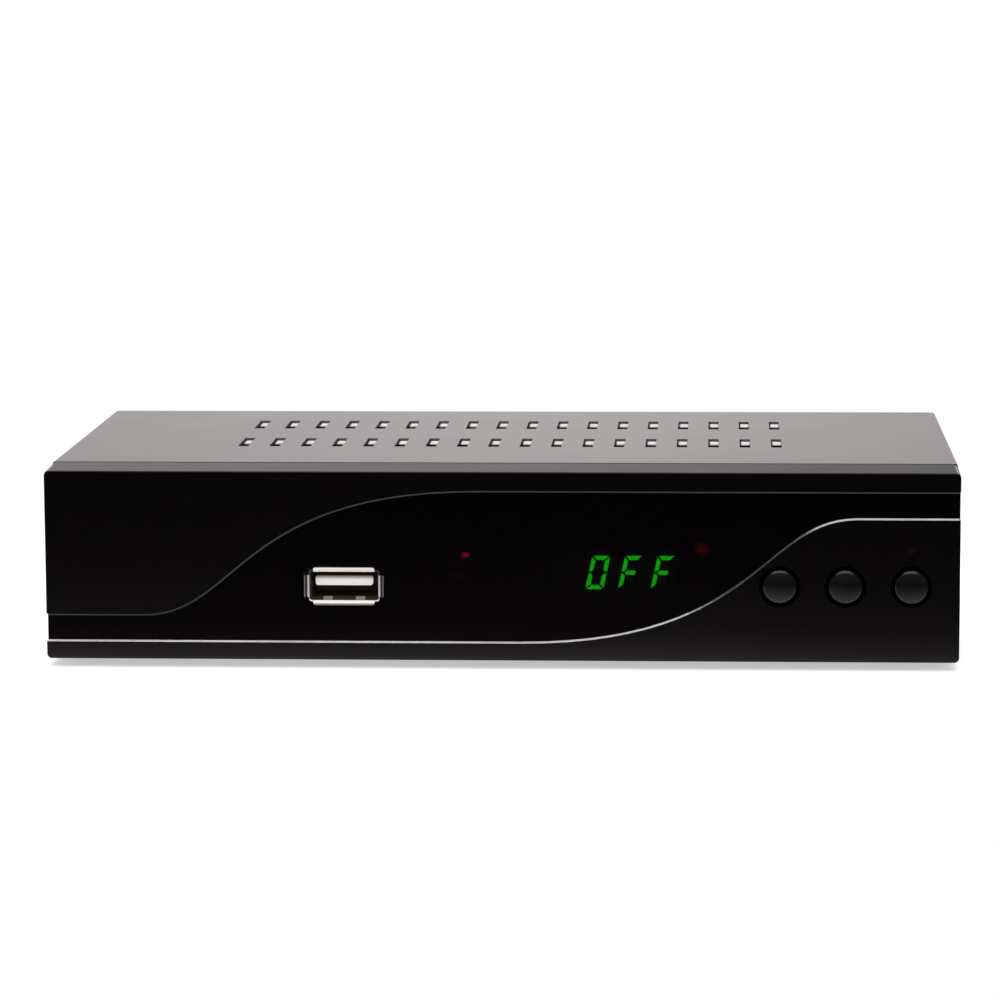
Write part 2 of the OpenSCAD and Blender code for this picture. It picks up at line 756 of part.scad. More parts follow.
// One of the seven segments of a digit, from the top clockwise, the middle one last.
module segment(k) {
  w = digit_w / 2;
  h = digit_h / 2;
  s = segment_w;
  g = segment_gap;
  bar = [[-w + g, h], [w - g, h], [w - s - g, h - s], [-w + s + g, h - s]];
  post = [[w, h - g], [w - s, h - s - g], [w - s, s / 2 + g], [w - s / 2, g], [w, g]];
  cross = [[-w + s / 2 + g, 0], [-w + s + g, s / 2], [w - s - g, s / 2], [w - s / 2 - g, 0],
           [w - s - g, -s / 2], [-w + s + g, -s / 2]];
  shape = k == 6 ? cross : k == 0 || k == 3 ? bar : post;
  flip = [k > 3 && k < 6 ? -1 : 1, k > 1 && k < 5 ? -1 : 1];
  polygon([for (p = shape)
    let (v = p[1] * flip[1]) [p[0] * flip[0] + v * tan(slant), v]]);
}

// The segments whose state is on.
module segments(on) {
  for (d = [0 : 3], k = [0 : 6]) if (lit(d, k) == on)
    translate([display_x + (d - 1.5) * digit_pitch, 0, bezel_z + display_z])
      along_y(display_y - segment_t, display_y) segment(k);
}

module lit_segments() {
  color([0.3, 1, 0.35]) segments(true);
}

module unlit_segments() {
  color([0.12, 0.13, 0.12]) segments(false);
}

module infrared_receiver() {
  color([0.05, 0.03, 0.03]) {
    box([eye_x - eye_w / 2, front_board_y - eye_t, bezel_z + eye_z - eye_h / 2],
        [eye_x + eye_w / 2, front_board_y, bezel_z + eye_z + eye_h / 2]);
    intersection() {
      translate([eye_x, front_board_y - eye_t, bezel_z + eye_z]) sphere(r = eye_r);
      rod_y(eye_x, bezel_z + eye_z, front_board_y - eye_t - eye_r - over, front_board_y - eye_t + over,
            eye_r + over);
    }
  }
}

// Lamp with a domed front at height z.
module lamp(x, z) {
  tip = plate_y + display_gap;
  rod_y(x, z, tip + lamp_r, front_board_y, lamp_r);
  rod_y(x, z, front_board_y - lamp_rim_t, front_board_y, lamp_r + lamp_rim);
  translate([x, tip + lamp_r, z]) sphere(r = lamp_r);
}

module indicator_leds() {
  color([0.35, 0.03, 0.03]) {
    lamp(lamp_x, bezel_z + lamp_z);
    lamp(button_x + 2 * button_pitch, bezel_z + button_z + power_lamp_up);
  }
}

module top_cover() {
  color([0.04, 0.04, 0.045]) difference() {
    union() {
      along_y(seam_y, back_y) difference() {
        union() {
          translate([-half_w, pan_z]) square([body_w, body_h - bezel_drop - fold_r]);
          rounded([-half_w, pan_z + fold_r], [half_w, top_z], fold_r);
        }
        translate([-half_w + sheet_t, pan_z - over])
          square([body_w - 2 * sheet_t, body_h - bezel_drop - fold_r + over]);
        rounded([-half_w + sheet_t, pan_z], [half_w - sheet_t, under_top], max(fold_r - sheet_t, snug));
      }
      along_y(back_y - sheet_t, back_y)
        rounded([-half_w + sheet_t / 2, top_z - rear_lip], [half_w - sheet_t / 2, top_z - sheet_t / 2],
                max(fold_r - sheet_t / 2, snug));
    }
    for (row = [0, 1], i = [0 : vent_count - 1]) {
      x = (i - (vent_count - 1) / 2) * vent_pitch;
      y = front_y + vent_front + row * vent_rows;
      box([x - vent_w / 2, y - vent_l / 2, under_top - over], [x + vent_w / 2, y + vent_l / 2, top_z + over]);
    }
    for (x = cover_screw_places)
      rod_y(x, top_z - rear_lip / 2, panel_y, back_y + over, screw_r + pass_gap);
  }
}

module vent_filter() {
  w = (vent_count - 1) * vent_pitch / 2 + filter_margin;
  y = front_y + vent_front;
  d = vent_l / 2 + filter_margin;
  color([0.85, 0.85, 0.83]) for (row = [0, 1])
    box([-w, y + row * vent_rows + filter_start, under_top - filter_t],
        [w, y + row * vent_rows + d, under_top]);
}

module bottom_chassis() {
  fold_from = front_y + bezel_d + lip_l + wall_t;
  color([0.06, 0.06, 0.065]) difference() {
    union() {
      box([-inner_w, seam_y, pan_z], [inner_w, panel_y, pan_top]);
      for (s = [-1, 1]) box([s > 0 ? inner_w - sheet_t : -inner_w, fold_from, pan_z],
                            [s > 0 ? inner_w : -inner_w + sheet_t, panel_y, pan_z + side_fold]);
      box([-inner_w, panel_in, pan_z], [inner_w, panel_y, panel_top]);
    }
    for (s = [-1, 1])
      rod_z(s * lug_x, front_y + bezel_d + lug_l / 2 + lip_l / 2, pan_z - over, pan_top + over,
            screw_r + pass_gap);
    for (x = cover_screw_places)
      rod_y(x, top_z - rear_lip / 2, panel_in - over, panel_y + over, screw_r + thread_gap);
    for (s = [-1, 1]) rod_y(tuner_x + s * rf_pitch / 2, rf_z, panel_in - over, panel_y + over,
                            rf_r + rf_t + pass_gap);
    box([hdmi_x - hdmi_w / 2 - pass_gap, panel_in - over, hdmi_z - hdmi_h / 2 - pass_gap],
        [hdmi_x + hdmi_w / 2 + pass_gap, panel_y + over, hdmi_z + hdmi_h / 2 + pass_gap]);
    for (i = [-1 : 1])
      rod_y(av_x + i * av_pitch, av_z, panel_in - over, panel_y + over, av_foot_r + pass_gap);
    rod_y(dc_x, dc_z, panel_in - over, panel_y + over, dc_r + sheet_t + pass_gap);
    for (i = [-5 : 5]) box([i * vent_pitch - vent_w / 2, front_y + vent_front, pan_z - over],
                           [i * vent_pitch + vent_w / 2, front_y + vent_front + vent_l, pan_top + over]);
  }
}

module rubber_feet() {
  color([0.03, 0.03, 0.03])
    for (x = [-half_w + foot_in, half_w - foot_in], y = [front_y + foot_front, back_y - foot_back])
      translate([x, y, 0]) rotate_extrude()
        polygon([[0, 0], [foot_r - foot_bevel, 0], [foot_r, foot_bevel], [foot_r, foot_h], [0, foot_h]]);
}

module cover_screws() {
  color([0.1, 0.1, 0.1]) for (x = cover_screw_places)
    translate([x, back_y, top_z - rear_lip / 2]) rotate([-90, 0, 0]) screw(screw_l);
}

module bezel_screws() {
  color([0.1, 0.1, 0.1]) for (s = [-1, 1])
    translate([s * lug_x, front_y + bezel_d + lug_l / 2 + lip_l / 2, pan_z]) rotate([180, 0, 0])
      screw(lug_t);
}

module board_standoffs() {
  color([0.75, 0.68, 0.45]) for (p = post_places) difference() {
    rod_z(p[0], front_y + p[1] * body_d, pan_top, board_z - board_t, post_r);
    rod_z(p[0], front_y + p[1] * body_d, pan_top + over, board_z, screw_r + thread_gap);
  }
}

module board_screws() {
  color([0.7, 0.7, 0.72]) for (p = post_places)
    translate([p[0], front_y + p[1] * body_d, board_z]) screw(screw_l);
}

module main_board() {
  color([0.05, 0.25, 0.12]) difference() {
    union() {
      box([-main_half, main_y, board_z - board_t], [main_half, main_back, board_z]);
      box([usb_x - tab_half, front_y + tab_front, board_z - board_t],
          [usb_x + tab_half, main_y + seat, board_z]);
    }
    for (p = post_places)
      rod_z(p[0], front_y + p[1] * body_d, board_z - board_t - over, board_z + over,
            screw_r + pass_gap);
  }
}

module usb_shell() {
  mouth = front_y + usb_set;
  tube = mouth + flare;
  rear = tube + usb_l;
  w = usb_w / 2;
  h = usb_h / 2;
  color([0.8, 0.8, 0.82]) translate([usb_x, 0, usb_mid]) {
    difference() {
      along_y(tube, rear) rounded([-w, -h], [w, h], 2 * usb_t);
      along_y(tube - over, rear - usb_t)
        rounded([-w + usb_t, -h + usb_t], [w - usb_t, h - usb_t], usb_t);
    }
    for (s = [0, 180]) rotate([0, s, 0]) {
      intersection() {
        along_x(-flare_w / 2, flare_w / 2)
          polygon([[tube + usb_t, h - usb_t], [tube + usb_t, h], [mouth, h + lip_rise],
                   [mouth, h + lip_rise - usb_t], [tube - usb_t, h - usb_t]]);
        along_y(mouth - over, rear) rounded([-flare_w / 2, 0], [flare_w / 2, h + lip_rise], lip_r);
      }
      rotate([0, 90, 0]) along_x(-flare_h / 2, flare_h / 2)
        polygon([[tube + usb_t, w - usb_t], [tube + usb_t, w], [mouth, w + flare],
                 [mouth, w + flare - usb_t], [tube - usb_t, w - usb_t]]);
    }
    for (x = [-tab_out, tab_out]) along_x(x - tab_w / 2, x + tab_w / 2)
      polygon([[tube, -h + usb_t / 2], [tube + tab_l * 0.12, -h + usb_t + tab_h],
               [tube + tab_l * 0.24, -h + usb_t + tab_h], [tube + tab_l, -h + usb_t / 2]]);
  }
}

module usb_insulator() {
  mouth = front_y + usb_set;
  rear = mouth + flare + usb_l - usb_t;
  w = usb_w / 2 - usb_t - snug;
  h = usb_h / 2 - usb_t - snug;
  color([0.92, 0.92, 0.9]) translate([usb_x, 0, usb_mid]) {
    along_y(mouth + tongue_set, rear - usb_foot / 2)
      rounded([-tongue_w / 2, tongue_up - tongue_t / 2],
              [tongue_w / 2, tongue_up + tongue_t / 2], tongue_t / 4);
    box([-w, rear - usb_foot, -h], [w, rear, h]);
  }
}

module usb_contacts() {
  y = front_y + usb_set + tongue_set;
  z = usb_mid + tongue_up - tongue_t / 2;
  color([0.85, 0.7, 0.3]) for (x = [-contact_out, -contact_mid, contact_mid, contact_out])
    box([usb_x + x - contact_w / 2, y + contact_w, z - contact_t],
        [usb_x + x + contact_w / 2, y + usb_l / 2, z]);
}

module header_block() {
  w = pin_count * pin_pitch / 2 + pin_w;
  color([0.06, 0.06, 0.06]) difference() {
    box([header_x - w, main_y + pin_w, board_z],
        [header_x + w, main_y + pin_w + header_h, board_z + header_h]);
    header_bars(pin_w + 2 * snug);
  }
}

// Square bars through the header, w thick.
module header_bars(w) {
  for (i = [0 : pin_count - 1]) {
    x = header_x + (i - (pin_count - 1) / 2) * pin_pitch;
    box([x - w / 2, front_board_y + board_t, board_z + header_h / 2 - w / 2],
        [x + w / 2, main_y + header_h + 2 * pin_w, board_z + header_h / 2 + w / 2]);
  }
}

module header_pins() {
  color([0.85, 0.7, 0.3]) header_bars(pin_w);
}

module processor() {
  color([0.05, 0.05, 0.05]) translate([processor_x, processor_y, board_z])
    box([-processor_w / 2, -processor_w / 2, 0], [processor_w / 2, processor_w / 2, chip_t]);
}

module heat_sink() {
  step = (sink_w - fin_t) / (fin_count - 1);
  color([0.7, 0.71, 0.73]) translate([processor_x, processor_y, board_z + chip_t]) {
    box([-sink_w / 2, -sink_w / 2, 0], [sink_w / 2, sink_w / 2, sink_floor]);
    for (i = [0 : fin_count - 1])
      box([-sink_w / 2 + i * step, -sink_w / 2, sink_floor - seat],
          [-sink_w / 2 + i * step + fin_t, sink_w / 2, sink_h]);
  }
}

module memory_chips() {
  color([0.05, 0.05, 0.05]) for (y = [-memory_l, memory_l / 3])
    translate([processor_x - part_step, processor_y + y, board_z])
      box([-memory_l / 2, -memory_w / 2, 0], [memory_l / 2, memory_w / 2, chip_t]);
}

module crystal() {
  color([0.75, 0.75, 0.77]) translate([processor_x + part_step, processor_y - memory_l, board_z])
    linear_extrude(crystal_h)
      rounded([-crystal_l / 2, -crystal_w / 2], [crystal_l / 2, crystal_w / 2], crystal_w / 2 - 2 * snug);
}

module power_inductors() {
  x = (processor_x + sink_w / 2 + dc_x - cap_r) / 2;
  color([0.12, 0.12, 0.12]) for (i = [0, 1]) translate([x, processor_y + cap_step * (i + 0.4), board_z])
    linear_extrude(coil_h) rounded([-coil_w / 2, -coil_w / 2], [coil_w / 2, coil_w / 2], coil_w / 7);
}

// Capacitor with the groove round its foot and a rolled top.
module capacitor(x, y, r, h) {
  d = r / 10;
  translate([x, y, board_z]) rotate_extrude()
    polygon([[0, 0], [r, 0], [r, 3 * d], [r - d, 4 * d], [r, 5 * d], [r, h - d], [r - d, h], [0, h]]);
}

module capacitors() {
  color([0.1, 0.1, 0.12]) {
    for (i = [-0.5, 0.5]) capacitor(dc_x, processor_y + i * cap_step, cap_r, cap_h);
    capacitor(dc_x + 0.85 * cap_step, processor_y, small_cap_r, cap_h);
    capacitor(processor_x - part_step, processor_y + 1.5 * cap_step, small_cap_r, cap_h * 0.7);
  }
}

module tuner_can() {
  w = tuner_w / 2;
  color([0.78, 0.78, 0.8]) difference() {
    box([tuner_x - w, main_back - tuner_d, board_z], [tuner_x + w, main_back, board_z + tuner_h]);
    box([tuner_x - w + can_t, main_back - tuner_d + can_t, board_z - over],
        [tuner_x + w - can_t, main_back - can_t, board_z + tuner_h - can_t]);
  }
}

// Tube of an aerial socket with a wider foot that fills the hole in the rear panel.
module rf_tube(x, r, reach) {
  difference() {
    union() {
      rod_y(x, rf_z, main_back, foot_y, rf_r + rf_t);
      rod_y(x, rf_z, foot_y - seat, back_y + reach, r);
    }
    rod_y(x, rf_z, rf_base, back_y + reach + over, r - rf_t);
  }
}

module aerial_socket() {
  color([0.8, 0.8, 0.82]) rf_tube(tuner_x - rf_pitch / 2, rf_r + rf_t, rf_reach);
}

module aerial_insulator() {
  x = tuner_x - rf_pitch / 2;
  color([0.9, 0.9, 0.86]) difference() {
    rod_y(x, rf_z, rf_base, rf_base + rf_disc_t, rf_r - snug);
    rod_y(x, rf_z, rf_base - over, rf_base + rf_disc_t + over, rf_pin_r + rf_contact_t + snug);
  }
}

module aerial_contact() {
  x = tuner_x - rf_pitch / 2;
  color([0.85, 0.7, 0.3]) difference() {
    rod_y(x, rf_z, rf_base, back_y + rf_reach - rf_contact_set, rf_pin_r + rf_contact_t);
    rod_y(x, rf_z, rf_base + rf_contact_t, back_y + rf_reach, rf_pin_r);
  }
}

module loop_plug() {
  color([0.8, 0.8, 0.82]) rf_tube(tuner_x + rf_pitch / 2, rf_r, rf_reach - loop_short);
}

module loop_insulator() {
  x = tuner_x + rf_pitch / 2;
  color([0.9, 0.9, 0.86]) difference() {
    rod_y(x, rf_z, rf_base, rf_base + rf_disc_t, rf_r - rf_t - snug);
    rod_y(x, rf_z, rf_base - over, rf_base + rf_disc_t + over, rf_pin_r + snug);
  }
}

module loop_pin() {
  color([0.85, 0.7, 0.3])
    rod_y(tuner_x + rf_pitch / 2, rf_z, rf_base, back_y + rf_reach - rf_contact_set, rf_pin_r);
}

// Outline of the HDMI shell, shrunk by t.
module hdmi_outline(t) {
  w = hdmi_w / 2 - t;
  h = hdmi_h / 2 - t;
  polygon([[-w, h], [w, h], [w, -h + hdmi_cut], [w - hdmi_cut, -h],
           [-w + hdmi_cut, -h], [-w, -h + hdmi_cut]]);
}

module hdmi_shell() {
  color([0.8, 0.8, 0.82]) translate([hdmi_x, 0, hdmi_z]) difference() {
    along_y(back_y - hdmi_l, back_y) hdmi_outline(0);
    along_y(back_y - hdmi_l + hdmi_t, back_y + over) hdmi_outline(hdmi_t);
  }
}

module hdmi_tongue() {
  floor_y = back_y - hdmi_l + hdmi_t;
  color([0.07, 0.07, 0.07]) translate([hdmi_x, 0, hdmi_z]) {
    along_y(floor_y, floor_y + hdmi_l / 4) hdmi_outline(hdmi_t + snug);
    box([-hdmi_tongue_w / 2, floor_y + hdmi_l / 5, 0],
        [hdmi_tongue_w / 2, back_y - hdmi_tongue_set, hdmi_tongue_t]);
  }
}

module av_block() {
  w = av_pitch + av_foot_r + sheet_t;
  color([0.05, 0.05, 0.05]) difference() {
    box([av_x - w, av_face - av_block_d, board_z], [av_x + w, av_face, av_z + av_foot_r + sheet_t]);
    for (i = [-1 : 1])
      rod_y(av_x + i * av_pitch, av_z, av_face - av_in, av_face + over, av_foot_r + snug);
  }
}

module av_barrels() {
  color([0.8, 0.8, 0.82]) for (i = [-1 : 1]) difference() {
    union() {
      rod_y(av_x + i * av_pitch, av_z, av_face - av_in, foot_y, av_foot_r);
      rod_y(av_x + i * av_pitch, av_z, foot_y - seat, back_y + av_reach, av_r);
    }
    rod_y(av_x + i * av_pitch, av_z, av_face - av_in - over, back_y + av_reach + over, av_r - av_t);
  }
}

// Coloured insulator in phono socket number i.
module av_insert(i) {
  x = av_x + i * av_pitch;
  difference() {
    rod_y(x, av_z, av_face - av_in, back_y + av_reach - socket_foot, av_r - av_t - snug);
    rod_y(x, av_z, av_face, back_y + av_reach + over, av_pin_r);
  }
}

module av_insert_yellow() {
  color([0.9, 0.7, 0.05]) av_insert(-1);
}

module av_insert_white() {
  color([0.9, 0.9, 0.9]) av_insert(0);
}

module av_insert_red() {
  color([0.75, 0.06, 0.05]) av_insert(1);
}

module dc_jack() {
  color([0.05, 0.05, 0.05]) difference() {
    union() {
      box([dc_x - dc_half, av_face - dc_d, board_z], [dc_x + dc_half, av_face, dc_z + dc_half]);
      rod_y(dc_x, dc_z, av_face - seat, back_y, dc_r + sheet_t);
    }
    rod_y(dc_x, dc_z, back_y - dc_deep, back_y + over, dc_r);
  }
}

module dc_pin() {
  color([0.85, 0.85, 0.86]) rod_y(dc_x, dc_z, back_y - dc_deep, back_y - sheet_t, dc_pin_r);
}

front_bezel();
display_window();
upper_trim();
lower_trim();
channel_down_button();
channel_up_button();
power_button();
channel_down_plunger();
channel_up_plunger();
power_plunger();
switch_housings();
front_board();
front_board_screws();
led_display();
lit_segments();
unlit_segments();
infrared_receiver();
indicator_leds();
top_cover();
vent_filter();
bottom_chassis();
rubber_feet();
cover_screws();
bezel_screws();
board_standoffs();
board_screws();
main_board();
usb_shell();
usb_insulator();
usb_contacts();
header_block();
header_pins();
processor();
heat_sink();
memory_chips();
crystal();
power_inductors();
capacitors();
tuner_can();
aerial_socket();
aerial_insulator();
aerial_contact();
loop_plug();
loop_insulator();
loop_pin();
hdmi_shell();
hdmi_tongue();
av_block();
av_barrels();
av_insert_yellow();
av_insert_white();
av_insert_red();
dc_jack();
dc_pin();
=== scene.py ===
import json
import math

import bpy
from mathutils import Matrix, Vector


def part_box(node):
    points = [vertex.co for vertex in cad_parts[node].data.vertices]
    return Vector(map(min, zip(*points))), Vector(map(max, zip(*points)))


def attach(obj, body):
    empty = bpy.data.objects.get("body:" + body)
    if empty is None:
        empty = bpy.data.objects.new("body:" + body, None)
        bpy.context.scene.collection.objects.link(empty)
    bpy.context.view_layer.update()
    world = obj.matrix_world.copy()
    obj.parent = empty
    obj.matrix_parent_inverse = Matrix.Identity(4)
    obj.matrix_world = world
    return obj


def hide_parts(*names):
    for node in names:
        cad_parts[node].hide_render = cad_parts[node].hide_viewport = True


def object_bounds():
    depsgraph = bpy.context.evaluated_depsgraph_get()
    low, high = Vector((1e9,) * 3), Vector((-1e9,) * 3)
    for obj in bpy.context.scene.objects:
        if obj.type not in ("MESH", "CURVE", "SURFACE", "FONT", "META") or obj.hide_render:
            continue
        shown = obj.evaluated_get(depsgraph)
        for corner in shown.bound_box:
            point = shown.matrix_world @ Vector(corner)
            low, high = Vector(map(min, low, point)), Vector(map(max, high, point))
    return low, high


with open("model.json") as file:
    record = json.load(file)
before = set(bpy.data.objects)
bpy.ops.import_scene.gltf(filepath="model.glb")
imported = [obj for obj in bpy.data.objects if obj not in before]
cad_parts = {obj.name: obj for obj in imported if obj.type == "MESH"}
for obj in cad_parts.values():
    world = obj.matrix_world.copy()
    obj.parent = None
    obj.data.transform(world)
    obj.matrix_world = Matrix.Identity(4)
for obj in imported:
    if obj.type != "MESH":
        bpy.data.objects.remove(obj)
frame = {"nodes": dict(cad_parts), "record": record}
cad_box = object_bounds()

MM = 0.001
BUTTONS = ("channel_down", "channel_up", "power")
ROUNDED_NODES = ("cover_screws", "bezel_screws", "aerial_socket", "loop_plug", "av_barrels", "dc_jack",
                 "hdmi_shell", "heat_sink", "tuner_can", "capacitors")
EDGE_ROUNDING = 0.12 * MM
# Left edge of the first vent slot, and the step from slot to slot
VENT_LEFT, VENT_PITCH = -52 * MM, 6 * MM

scene = bpy.context.scene
scene.view_settings.view_transform = "Standard"
nodes = frame["nodes"]


# Camera
def add_camera():
    """Camera at the photo's viewing angle: turns in radians, places in metres, lens in millimetres."""
    yaw, pitch, roll = 0.05341118, 0.14081037, -0.00418082
    side, away, height = 0.0388315, 0.7256905, 0.134468
    lens, sensor, clip_start, clip_end = 144.46, 36, 0.01, 50
    level_right = Vector((math.cos(yaw), math.sin(yaw), 0))
    level_ahead = Vector((-math.sin(yaw), math.cos(yaw), 0))
    plumb = Vector((0, 0, -1))
    tilted = math.cos(pitch) * plumb - math.sin(pitch) * level_ahead
    ahead = math.sin(pitch) * plumb + math.cos(pitch) * level_ahead
    right = math.cos(roll) * level_right - math.sin(roll) * tilted
    down = math.sin(roll) * level_right + math.cos(roll) * tilted
    data = bpy.data.cameras.new("camera")
    data.lens, data.sensor_width, data.sensor_fit = lens, sensor, "HORIZONTAL"
    data.clip_start, data.clip_end = clip_start, clip_end
    cam = bpy.data.objects.new("camera", data)
    place = Matrix((right, -down, -ahead)).transposed().to_4x4()
    place.translation = (side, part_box("front_bezel")[0].y - away, height)
    cam.matrix_world = place
    scene.collection.objects.link(cam)
    scene.camera = cam


# Node helpers
class Tree:
    """Small helper that makes and links the shader nodes of a material or the world."""

    def __init__(self, owner):
        owner.use_nodes = True
        self.tree = owner.node_tree
        self.tree.nodes.clear()

    def add(self, kind, **inputs):
        node = self.tree.nodes.new(kind)
        for key, value in inputs.items():
            self.put(node, key.replace("_", " "), value)
        return node

    def put(self, node, key, value):
        socket = node.inputs[int(key)] if key.isdigit() else node.inputs[key]
        if isinstance(value, bpy.types.NodeSocket):
            self.tree.links.new(value, socket)
        else:
            socket.default_value = value

    def math(self, op, a, b=0.0):
        node = self.tree.nodes.new("ShaderNodeMath")
        node.operation = op
        self.put(node, "0", a)
        self.put(node, "1", b)
        return node.outputs[0]

    def noise(self, where, scale, detail=3.0):
        return self.add("ShaderNodeTexNoise", Vector=where, Scale=scale, Detail=detail).outputs["Fac"]

    def axes(self, where):
        return self.add("ShaderNodeSeparateXYZ", Vector=where).outputs

    def span(self, value, low, high, start=0.3, end=0.7):
        """From low to high while the value goes from start to end."""
        node = self.add("ShaderNodeMapRange", Value=value)
        limits = (("From Min", start), ("From Max", end), ("To Min", low), ("To Max", high))
        for key, number in limits:
            node.inputs[key].default_value = number
        return node.outputs[0]

    def blend(self, fac, a, b):
        node = self.tree.nodes.new("ShaderNodeMix")
        node.data_type = "RGBA"
        self.put(node, "0", fac)
        for key, colour in (("6", a), ("7", b)):
            self.put(node, key, colour if isinstance(colour, bpy.types.NodeSocket) else (*colour, 1))
        return node.outputs[2]

    def mix(self, fac, a, b):
        node = self.tree.nodes.new("ShaderNodeMixShader")
        self.put(node, "0", fac)
        self.put(node, "1", a.outputs[0])
        self.put(node, "2", b.outputs[0])
        return node

    def bump(self, height, strength, distance):
        node = self.add("ShaderNodeBump", Height=height, Strength=strength, Distance=distance)
        return node.outputs[0]


def shade(colour, factor):
    return tuple(v * factor for v in colour)


def surface(name, colour, rough, metal=0.0, ior=1.45, mottle=0.12, grain=900, rough_var=0.04, bump=0.0,
            bump_grain=2500, level=0.5, tint=None, alpha=1.0, extra=None):
    """Principled material whose colour, gloss and relief vary with fine noise."""
    broader, soft_detail, least_rough, bump_depth = 12, 2.0, 0.02, 0.1 * MM
    mat = bpy.data.materials.new(name)
    t = Tree(mat)
    out = t.add("ShaderNodeOutputMaterial")
    bsdf = t.add("ShaderNodeBsdfPrincipled")
    t.put(out, "Surface", bsdf.outputs[0])
    where = t.add("ShaderNodeTexCoord").outputs["Object"]
    fine = t.noise(where, grain)
    colour_out = t.blend(t.span(fine, 0, 1), shade(colour, 1 - mottle), shade(colour, 1 + mottle))
    broad = t.noise(where, grain / broader, soft_detail)
    gloss = t.span(broad, max(rough - rough_var, least_rough), min(rough + rough_var, 1))
    t.put(bsdf, "Roughness", gloss)
    if bump:
        relief = t.noise(where, bump_grain, soft_detail)
        t.put(bsdf, "Normal", t.bump(relief, bump, bump_depth))
    if extra:
        colour_out = extra(t, where, colour_out, bsdf)
    t.put(bsdf, "Base Color", colour_out)
    uniform = (("Metallic", metal), ("IOR", ior), ("Specular IOR Level", level), ("Alpha", alpha))
    for key, value in uniform:
        bsdf.inputs[key].default_value = value
    if tint:
        bsdf.inputs["Specular Tint"].default_value = (*tint, 1)
    return mat


# Light and shade that belong to single finishes
def glow(colour, strength):
    def extra(t, where, colour_out, bsdf):
        bsdf.inputs["Emission Color"].default_value = (*colour, 1)
        bsdf.inputs["Emission Strength"].default_value = strength
        return colour_out
    return extra


def spot(t, where, x, z, inner, outer, stretch=1.0):
    """1 near the line through (x, z) along Y, fading to 0 between the two radii, in millimetres.

    The spot is stretched along X by the last value."""
    flat = t.add("ShaderNodeCombineXYZ")
    parts = t.axes(where)
    t.put(flat, "X", t.math("DIVIDE", t.math("SUBTRACT", parts["X"], x * MM), stretch))
    t.put(flat, "Z", t.math("SUBTRACT", parts["Z"], z * MM))
    size = t.add("ShaderNodeVectorMath")
    size.operation = "LENGTH"
    t.put(size, "0", flat.outputs[0])
    return t.span(size.outputs["Value"], 1, 0, inner * MM, outer * MM)


def painted_eye_glints(t, where, colour_out, bsdf):
    """Painted red glints: glowing spots on the remote eye's lens stand in for its reflections."""
    low, high = (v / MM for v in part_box("infrared_receiver"))
    mid_x, mid_z = (low.x + high.x) / 2, (low.z + high.z) / 2
    bsdf.inputs["Emission Color"].default_value = (1, 0.015, 0.09, 1)
    # Place from the lens's middle in X and Z, inner and outer radius, stretch, strength
    main = (1.5, 1.3, 0.1, 0.6, 1.7, 1.1)
    upper = (0.6, 2.6, 0.1, 0.4, 4.0, 0.16)
    lower = (-0.1, -2.7, 0.1, 0.4, 4.0, 0.10)
    haze = (0.3, 0.1, 0.6, 2.6, 1.0, 0.012)
    total = 0.0
    for x, z, inner, outer, stretch, strength in (main, upper, lower, haze):
        light = spot(t, where, mid_x + x, mid_z + z, inner, outer, stretch)
        total = t.math("ADD", t.math("MULTIPLY", light, strength), total)
    t.put(bsdf, "Emission Strength", total)
    return colour_out


def lamp_glow(t, where, colour_out, bsdf):
    """The signal lamp, the left one of the two, glows behind the window."""
    low, high = (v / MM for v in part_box("indicator_leds"))
    lamp_x, lamp_z = low.x + 2.0, high.z - 1.8
    inner, outer, strength = 0.3, 1.6, 0.20
    bsdf.inputs["Emission Color"].default_value = (1, 0.008, 0.06, 1)
    light = spot(t, where, lamp_x, lamp_z, inner, outer)
    t.put(bsdf, "Emission Strength", t.math("MULTIPLY", light, strength))
    return colour_out


def digit_halo(t, where, colour_out, bsdf):
    """Faint green light of the lit digits on the display's face round them."""
    low, high = (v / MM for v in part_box("lit_segments"))
    digits, digit_w = 3, 4.6
    inner, outer, stretch, strength = 1.8, 4.6, 0.8, 0.018
    bsdf.inputs["Emission Color"].default_value = (0.01, 1, 0.02, 1)
    step = (high.x - low.x - digit_w) / (digits - 1)
    total = 0.0
    for k in range(digits):
        x = low.x + digit_w / 2 + k * step
        total = t.math("ADD", spot(t, where, x, (low.z + high.z) / 2, inner, outer, stretch), total)
    t.put(bsdf, "Emission Strength", t.math("MULTIPLY", total, strength))
    return colour_out


def painted_ear_highlights(t, where, colour_out, bsdf):
    """Side lips of the socket: painted highlights where they bend out and along their edge, painted shade
    between.
    """
    low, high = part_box("usb_shell")
    bend_start, bend_end, bend_soft = 0.55 * MM, 0.95 * MM, 0.07 * MM
    edge_end, edge_soft, edge_light = 0.10 * MM, 0.06 * MM, 0.45
    bright = (0.95, 0.94, 0.91)
    off_middle = t.math("ABSOLUTE", t.math("SUBTRACT", t.axes(where)["X"], (low.x + high.x) / 2))
    away = t.math("SUBTRACT", (high.x - low.x) / 2, off_middle)
    rise = t.span(away, 0, 1, bend_start, bend_start + bend_soft)
    fall = t.span(away, 1, 0, bend_end - bend_soft, bend_end)
    edge = t.span(away, edge_light, 0, edge_end, edge_end + edge_soft)
    lit = t.math("MAXIMUM", t.math("MINIMUM", rise, fall), edge)
    return t.blend(lit, colour_out, bright)


def tongue_shade(t, where, colour_out, bsdf):
    """The tongue is in the shade of the socket's roof along its top."""
    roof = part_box("usb_shell")[1].z
    start, end, dark = roof - 2.5 * MM, roof - 1.75 * MM, (0.20, 0.11, 0.055)
    return t.blend(t.span(t.axes(where)["Z"], 0, 1, start, end), colour_out, dark)


